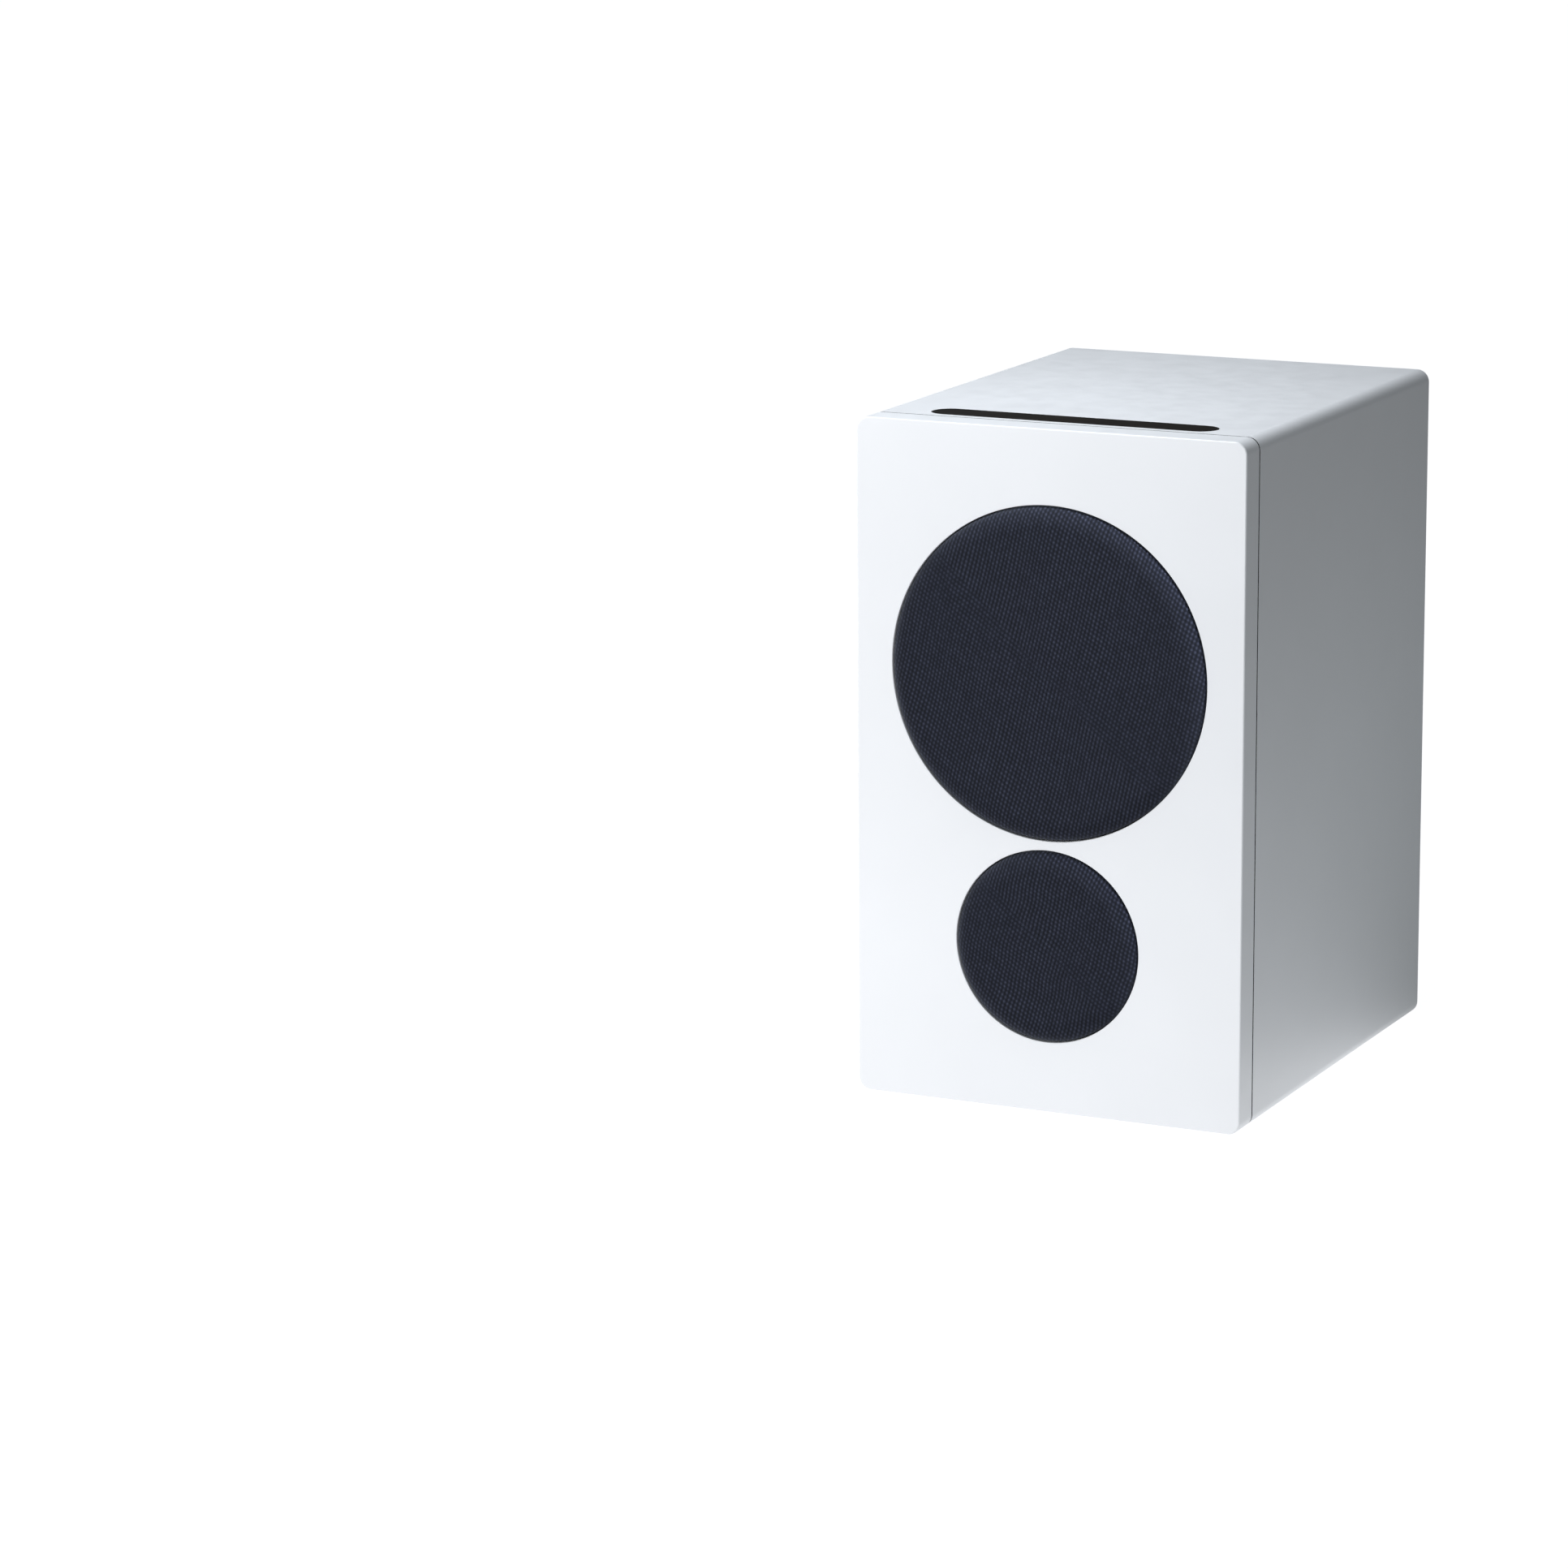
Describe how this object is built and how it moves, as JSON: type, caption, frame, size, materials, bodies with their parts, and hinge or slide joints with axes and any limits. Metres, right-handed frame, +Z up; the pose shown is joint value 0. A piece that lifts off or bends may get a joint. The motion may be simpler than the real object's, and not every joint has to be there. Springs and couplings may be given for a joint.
{
  "type": "bookshelf speaker",
  "caption": "Active bookshelf speaker: white lacquered cabinet and front baffle, woofer above a dome tweeter behind round cloth grilles, touch strip on top, connectors at the back.",
  "frame": {"origin": "on the surface under the speaker, at the middle of its width and depth", "axes": "+X to the right as seen from in front, +Y to the back, +Z up"},
  "size_m": [0.18, 0.24, 0.3025],
  "materials": {
    "white_lacquer": "white satin lacquer on fibreboard",
    "bare_fibreboard": "bare fibreboard",
    "grille_cloth": "dark blue-black woven cloth",
    "dark_acrylic": "dark gloss touch strip",
    "black_plastic": "fine textured black",
    "gloss_black_plastic": "gloss black",
    "black_rubber": "matt rubber",
    "black_steel": "black powder coat",
    "black_aluminium": "black fine-textured coat",
    "woven_cone": "coated woven cone",
    "silk_dome": "coated silk",
    "spider_cloth": "resin-treated cloth",
    "copper_wire": "enamelled copper winding",
    "gold_plate": "gold plate",
    "zinc_steel": "zinc plate",
    "ferrite": "sintered ferrite",
    "circuit_board": "green solder mask",
    "bare_aluminium": "extruded aluminium",
    "varnished_winding": "varnished copper winding under tape",
    "lead_insulation": "wire insulation",
    "black_screw": "black oxide"
  },
  "bodies": {
    "cabinet": {"cabinet_wrap": "white_lacquer", "front_baffle": "white_lacquer", "back_panel": "white_lacquer", "sub_baffle": "bare_fibreboard", "chamber_shelf": "bare_fibreboard", "port_tube": "black_plastic", "woofer_basket": "black_steel", "woofer_gasket": "black_rubber", "woofer_surround": "black_rubber", "woofer_spider": "spider_cloth", "woofer_top_plate": "zinc_steel", "woofer_magnet": "ferrite", "woofer_yoke": "zinc_steel", "tweeter_faceplate": "black_plastic", "tweeter_top_plate": "zinc_steel", "tweeter_magnet": "ferrite", "tweeter_yoke": "zinc_steel", "tweeter_rear_cup": "black_plastic", "control_strip": "dark_acrylic", "touch_board": "circuit_board", "amp_board": "circuit_board", "amp_plate": "black_aluminium", "mains_inlet": "black_plastic", "power_switch_frame": "black_plastic", "terminal_base": "black_plastic", "positive_post_stud": "gold_plate", "negative_post_stud": "gold_plate", "rca_block": "gold_plate", "optical_jack": "black_plastic", "heatsink": "bare_aluminium", "power_transformer": "varnished_winding", "woofer_lead": "lead_insulation", "tweeter_lead": "lead_insulation", "foot_front_left": "black_rubber", "foot_front_right": "black_rubber", "foot_rear_left": "black_rubber", "foot_rear_right": "black_rubber", "woofer_screw_1": "black_screw", "woofer_screw_2": "black_screw", "woofer_screw_3": "black_screw", "woofer_screw_4": "black_screw", "tweeter_screw_1": "black_screw", "tweeter_screw_2": "black_screw", "tweeter_screw_3": "black_screw"},
    "woofer_grille": {"woofer_grille_cloth": "grille_cloth", "woofer_grille_frame": "black_plastic"},
    "tweeter_grille": {"tweeter_grille_cloth": "grille_cloth", "tweeter_grille_frame": "black_plastic"},
    "woofer_cone": {"woofer_cone": "woven_cone", "woofer_dust_cap": "black_rubber", "woofer_voice_coil": "copper_wire"},
    "tweeter_dome": {"tweeter_dome": "silk_dome", "tweeter_voice_coil": "copper_wire"},
    "power_rocker": {"power_rocker": "gloss_black_plastic"},
    "positive_washer": {"positive_clamp_washer": "gold_plate"},
    "positive_knob": {"positive_post_knob": "gloss_black_plastic"},
    "negative_washer": {"negative_clamp_washer": "gold_plate"},
    "negative_knob": {"negative_post_knob": "gloss_black_plastic"},
    "optical_shutter": {"optical_shutter": "gloss_black_plastic"},
    "pairing_button": {"pairing_button": "gloss_black_plastic"}
  },
  "joints": [
    {"name": "woofer_grille_pull", "type": "slide", "parent": "cabinet", "child": "woofer_grille", "axis": [0, -1, 0], "range_m": [0, 0.06]},
    {"name": "tweeter_grille_pull", "type": "slide", "parent": "cabinet", "child": "tweeter_grille", "axis": [0, -1, 0], "range_m": [0, 0.06]},
    {"name": "woofer_excursion", "type": "slide", "parent": "cabinet", "child": "woofer_cone", "axis": [0, -1, 0], "range_m": [-0.003, 0.003], "stiffness_N_per_m": 1200, "deforming": ["woofer_surround", "woofer_spider"]},
    {"name": "tweeter_excursion", "type": "slide", "parent": "cabinet", "child": "tweeter_dome", "axis": [0, -1, 0], "range_m": [-0.0003, 0.0003], "stiffness_N_per_m": 2000},
    {"name": "power_rocker_tilt", "type": "hinge", "parent": "cabinet", "child": "power_rocker", "pos_m": [0.014, 0.0998, 0.04], "axis": [1, 0, 0], "range_deg": [0, 22]},
    {"name": "positive_washer_slide", "type": "slide", "parent": "cabinet", "child": "positive_washer", "axis": [0, 1, 0], "range_m": [0, 0.004]},
    {"name": "positive_knob_turn", "type": "hinge", "parent": "positive_washer", "child": "positive_knob", "pos_m": [-0.05, 0.115, 0.04], "axis": [0, 1, 0], "range_deg": [0, 1800]},
    {"name": "negative_washer_slide", "type": "slide", "parent": "cabinet", "child": "negative_washer", "axis": [0, 1, 0], "range_m": [0, 0.004]},
    {"name": "negative_knob_turn", "type": "hinge", "parent": "negative_washer", "child": "negative_knob", "pos_m": [-0.031, 0.115, 0.04], "axis": [0, 1, 0], "range_deg": [0, 1800]},
    {"name": "optical_shutter_swing", "type": "hinge", "parent": "cabinet", "child": "optical_shutter", "pos_m": [0, 0.10425, 0.0875], "axis": [-1, 0, 0], "range_deg": [0, 75], "stiffness_Nm_per_rad": 0.0005},
    {"name": "pairing_button_press", "type": "slide", "parent": "cabinet", "child": "pairing_button", "axis": [0, -1, 0], "range_m": [0, 0.0008], "stiffness_N_per_m": 400}
  ],
  "couplings": [
    {"joint": "positive_knob_turn", "follows": "positive_washer_slide", "rad_per_m": 7854},
    {"joint": "negative_knob_turn", "follows": "negative_washer_slide", "rad_per_m": 7854}
  ]
}
